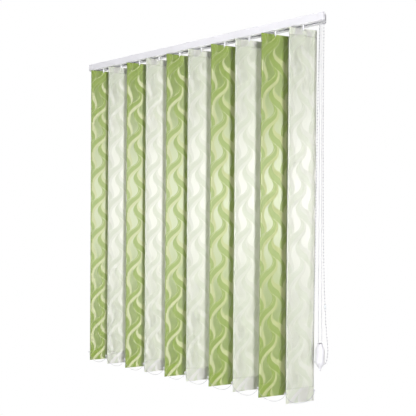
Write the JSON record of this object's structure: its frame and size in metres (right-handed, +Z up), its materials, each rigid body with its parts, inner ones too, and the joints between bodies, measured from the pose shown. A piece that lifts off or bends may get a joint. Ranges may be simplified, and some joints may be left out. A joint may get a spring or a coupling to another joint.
{
  "type": "vertical blind",
  "caption": "Vertical blind with alternating green and pale jacquard fabric vanes on a white headrail, drawn by a cord and tilted by a bead chain.",
  "frame": {"origin": "centre of the row of screw holes, on the ceiling plane that the clips' tops lie in", "axes": "+X along the rail towards the control end, +Y from the room to the window, +Z up"},
  "size_m": [1.2512, 0.099, 1.59],
  "materials": {
    "rail_white": "satin white lacquer",
    "white_plastic": "moulded white",
    "clear_plastic": "frosted clear",
    "chain_white": "moulded beads",
    "cord_white": "braided polyester",
    "spring_steel": "bright zinc",
    "rod_aluminium": "drawn",
    "fabric_green": "satin jacquard with a lighter flame pattern",
    "fabric_pale": "satin jacquard with a lighter flame pattern"
  },
  "bodies": {
    "rail": {"headrail": "rail_white", "mounting_clips": "rail_white", "left_end_cap": "white_plastic", "control_frame": "white_plastic", "control_cover": "white_plastic", "rod_bush": "clear_plastic", "axle_pins": "spring_steel", "bead_chain": "chain_white", "chain_string": "cord_white", "chain_joiner": "clear_plastic", "draw_cord": "cord_white", "cord_weight": "white_plastic", "carriage_10": "white_plastic"},
    "tilt_rod": {"tilt_rod": "rod_aluminium"},
    "chain_wheel": {"chain_wheel": "white_plastic"},
    "return_pulley": {"return_pulley": "clear_plastic"},
    "upper_pulley": {"upper_pulley": "clear_plastic"},
    "lower_pulley": {"lower_pulley": "clear_plastic"},
    "front_link_chain": {"front_link_chain": "chain_white"},
    "back_link_chain": {"back_link_chain": "chain_white"},
    "carriage_1": {"carriage_1": "white_plastic"},
    "carriage_2": {"carriage_2": "white_plastic"},
    "carriage_3": {"carriage_3": "white_plastic"},
    "carriage_4": {"carriage_4": "white_plastic"},
    "carriage_5": {"carriage_5": "white_plastic"},
    "carriage_6": {"carriage_6": "white_plastic"},
    "carriage_7": {"carriage_7": "white_plastic"},
    "carriage_8": {"carriage_8": "white_plastic"},
    "carriage_9": {"carriage_9": "white_plastic"},
    "vane_1": {"hook_1": "white_plastic", "slat_1": "fabric_green", "weight_1": "white_plastic"},
    "vane_2": {"hook_2": "white_plastic", "slat_2": "fabric_pale", "weight_2": "white_plastic"},
    "vane_3": {"hook_3": "white_plastic", "slat_3": "fabric_green", "weight_3": "white_plastic"},
    "vane_4": {"hook_4": "white_plastic", "slat_4": "fabric_pale", "weight_4": "white_plastic"},
    "vane_5": {"hook_5": "white_plastic", "slat_5": "fabric_green", "weight_5": "white_plastic"},
    "vane_6": {"hook_6": "white_plastic", "slat_6": "fabric_pale", "weight_6": "white_plastic"},
    "vane_7": {"hook_7": "white_plastic", "slat_7": "fabric_green", "weight_7": "white_plastic"},
    "vane_8": {"hook_8": "white_plastic", "slat_8": "fabric_pale", "weight_8": "white_plastic"},
    "vane_9": {"hook_9": "white_plastic", "slat_9": "fabric_green", "weight_9": "white_plastic"},
    "vane_10": {"hook_10": "white_plastic", "slat_10": "fabric_pale", "weight_10": "white_plastic", "end_link_chain": "chain_white"}
  },
  "joints": [
    {"name": "traverse", "type": "slide", "parent": "rail", "child": "carriage_1", "axis": [1, 0, 0], "range_m": [0, 0.891], "deforming": ["front_link_chain", "back_link_chain"]},
    {"name": "traverse_2", "type": "slide", "parent": "rail", "child": "carriage_2", "axis": [1, 0, 0], "range_m": [0, 0.792]},
    {"name": "traverse_3", "type": "slide", "parent": "rail", "child": "carriage_3", "axis": [1, 0, 0], "range_m": [0, 0.693]},
    {"name": "traverse_4", "type": "slide", "parent": "rail", "child": "carriage_4", "axis": [1, 0, 0], "range_m": [0, 0.594]},
    {"name": "traverse_5", "type": "slide", "parent": "rail", "child": "carriage_5", "axis": [1, 0, 0], "range_m": [0, 0.495]},
    {"name": "traverse_6", "type": "slide", "parent": "rail", "child": "carriage_6", "axis": [1, 0, 0], "range_m": [0, 0.396]},
    {"name": "traverse_7", "type": "slide", "parent": "rail", "child": "carriage_7", "axis": [1, 0, 0], "range_m": [0, 0.297]},
    {"name": "traverse_8", "type": "slide", "parent": "rail", "child": "carriage_8", "axis": [1, 0, 0], "range_m": [0, 0.198]},
    {"name": "traverse_9", "type": "slide", "parent": "rail", "child": "carriage_9", "axis": [1, 0, 0], "range_m": [0, 0.099]},
    {"name": "tilt", "type": "hinge", "parent": "rail", "child": "vane_10", "pos_m": [0.5265, 0, -0.0222], "axis": [0, 0, 1], "range_deg": [-29, 123]},
    {"name": "tilt_1", "type": "hinge", "parent": "carriage_1", "child": "vane_1", "pos_m": [-0.5265, 0, -0.0222], "axis": [0, 0, 1], "range_deg": [-29, 123]},
    {"name": "tilt_2", "type": "hinge", "parent": "carriage_2", "child": "vane_2", "pos_m": [-0.4095, 0, -0.0222], "axis": [0, 0, 1], "range_deg": [-29, 123]},
    {"name": "tilt_3", "type": "hinge", "parent": "carriage_3", "child": "vane_3", "pos_m": [-0.2925, 0, -0.0222], "axis": [0, 0, 1], "range_deg": [-29, 123]},
    {"name": "tilt_4", "type": "hinge", "parent": "carriage_4", "child": "vane_4", "pos_m": [-0.1755, 0, -0.0222], "axis": [0, 0, 1], "range_deg": [-29, 123]},
    {"name": "tilt_5", "type": "hinge", "parent": "carriage_5", "child": "vane_5", "pos_m": [-0.0585, 0, -0.0222], "axis": [0, 0, 1], "range_deg": [-29, 123]},
    {"name": "tilt_6", "type": "hinge", "parent": "carriage_6", "child": "vane_6", "pos_m": [0.0585, 0, -0.0222], "axis": [0, 0, 1], "range_deg": [-29, 123]},
    {"name": "tilt_7", "type": "hinge", "parent": "carriage_7", "child": "vane_7", "pos_m": [0.1755, 0, -0.0222], "axis": [0, 0, 1], "range_deg": [-29, 123]},
    {"name": "tilt_8", "type": "hinge", "parent": "carriage_8", "child": "vane_8", "pos_m": [0.2925, 0, -0.0222], "axis": [0, 0, 1], "range_deg": [-29, 123]},
    {"name": "tilt_9", "type": "hinge", "parent": "carriage_9", "child": "vane_9", "pos_m": [0.4095, 0, -0.0222], "axis": [0, 0, 1], "range_deg": [-29, 123]},
    {"name": "rod_spin", "type": "hinge", "parent": "rail", "child": "tilt_rod", "pos_m": [0, 0.01, -0.0222], "axis": [1, 0, 0], "range_deg": [-174, 738]},
    {"name": "wheel_spin", "type": "hinge", "parent": "rail", "child": "chain_wheel", "pos_m": [0.601, -0.002, -0.0222], "axis": [0, 1, 0], "range_deg": [-108.75, 461.25]},
    {"name": "return_pulley_spin", "type": "hinge", "parent": "rail", "child": "return_pulley", "pos_m": [-0.598, -0.0115, -0.0167], "axis": [0, 1, 0], "range_deg": [-10210.11, 0]},
    {"name": "upper_pulley_spin", "type": "hinge", "parent": "rail", "child": "upper_pulley", "pos_m": [0.5995, -0.0115, -0.0157], "axis": [0, 1, 0], "range_deg": [-12762.63, 0]},
    {"name": "lower_pulley_spin", "type": "hinge", "parent": "rail", "child": "lower_pulley", "pos_m": [0.5925, -0.0115, -0.0257], "axis": [0, 1, 0], "range_deg": [0, 12762.63]},
    {"name": "front_link_chain_sway", "type": "hinge", "parent": "vane_10", "child": "front_link_chain", "pos_m": [0.47737, -0.04541, -1.5392], "axis": [0, 0, 1], "range_deg": [-123, 29]},
    {"name": "back_link_chain_sway", "type": "hinge", "parent": "vane_10", "child": "back_link_chain", "pos_m": [0.57522, 0.04584, -1.5392], "axis": [0, 0, 1], "range_deg": [-123, 29]}
  ],
  "couplings": [
    {"joint": "traverse_2", "follows": "traverse", "ratio": 0.88889},
    {"joint": "traverse_3", "follows": "traverse", "ratio": 0.77778},
    {"joint": "traverse_4", "follows": "traverse", "ratio": 0.66667},
    {"joint": "traverse_5", "follows": "traverse", "ratio": 0.55556},
    {"joint": "traverse_6", "follows": "traverse", "ratio": 0.44444},
    {"joint": "traverse_7", "follows": "traverse", "ratio": 0.33333},
    {"joint": "traverse_8", "follows": "traverse", "ratio": 0.22222},
    {"joint": "traverse_9", "follows": "traverse", "ratio": 0.11111},
    {"joint": "tilt_1", "follows": "tilt", "ratio": 1},
    {"joint": "tilt_2", "follows": "tilt", "ratio": 1},
    {"joint": "tilt_3", "follows": "tilt", "ratio": 1},
    {"joint": "tilt_4", "follows": "tilt", "ratio": 1},
    {"joint": "tilt_5", "follows": "tilt", "ratio": 1},
    {"joint": "tilt_6", "follows": "tilt", "ratio": 1},
    {"joint": "tilt_7", "follows": "tilt", "ratio": 1},
    {"joint": "tilt_8", "follows": "tilt", "ratio": 1},
    {"joint": "tilt_9", "follows": "tilt", "ratio": 1},
    {"joint": "rod_spin", "follows": "tilt", "ratio": 6},
    {"joint": "wheel_spin", "follows": "tilt", "ratio": 3.75},
    {"joint": "return_pulley_spin", "follows": "traverse", "rad_per_m": -200},
    {"joint": "upper_pulley_spin", "follows": "traverse", "rad_per_m": -250},
    {"joint": "lower_pulley_spin", "follows": "traverse", "rad_per_m": 250},
    {"joint": "front_link_chain_sway", "follows": "tilt", "ratio": -1},
    {"joint": "back_link_chain_sway", "follows": "tilt", "ratio": -1}
  ]
}
